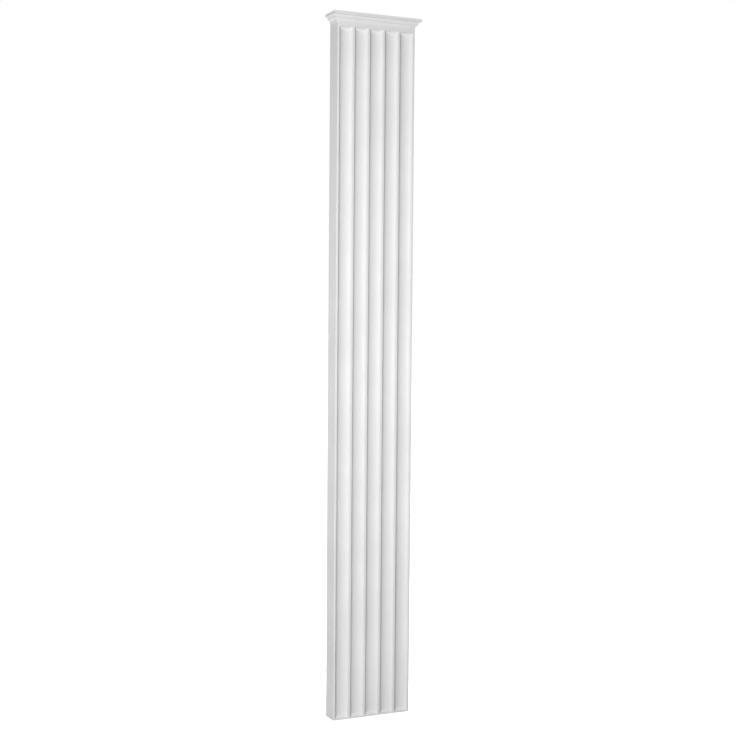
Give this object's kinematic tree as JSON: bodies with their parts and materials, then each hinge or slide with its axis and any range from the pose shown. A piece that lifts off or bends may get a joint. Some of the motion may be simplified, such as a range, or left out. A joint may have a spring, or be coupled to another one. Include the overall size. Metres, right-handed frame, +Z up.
{
  "type": "pilaster",
  "caption": "Fluted wall pilaster: a tall flat-backed shaft with hollow flutes down its front and a small crown cap moulded on its head.",
  "frame": {"origin": "middle of the foot of the flat back, where the wall meets the cut foot", "axes": "+Z up the shaft, +Y into the wall, +X along the wall to the right as seen from the front, so the fluted front faces -Y"},
  "size_m": [0.27, 0.07, 2],
  "materials": {
    "primed_foam": "factory-primed white, matt"
  },
  "bodies": {
    "root": {"pilaster": "primed_foam"}
  },
  "joints": []
}
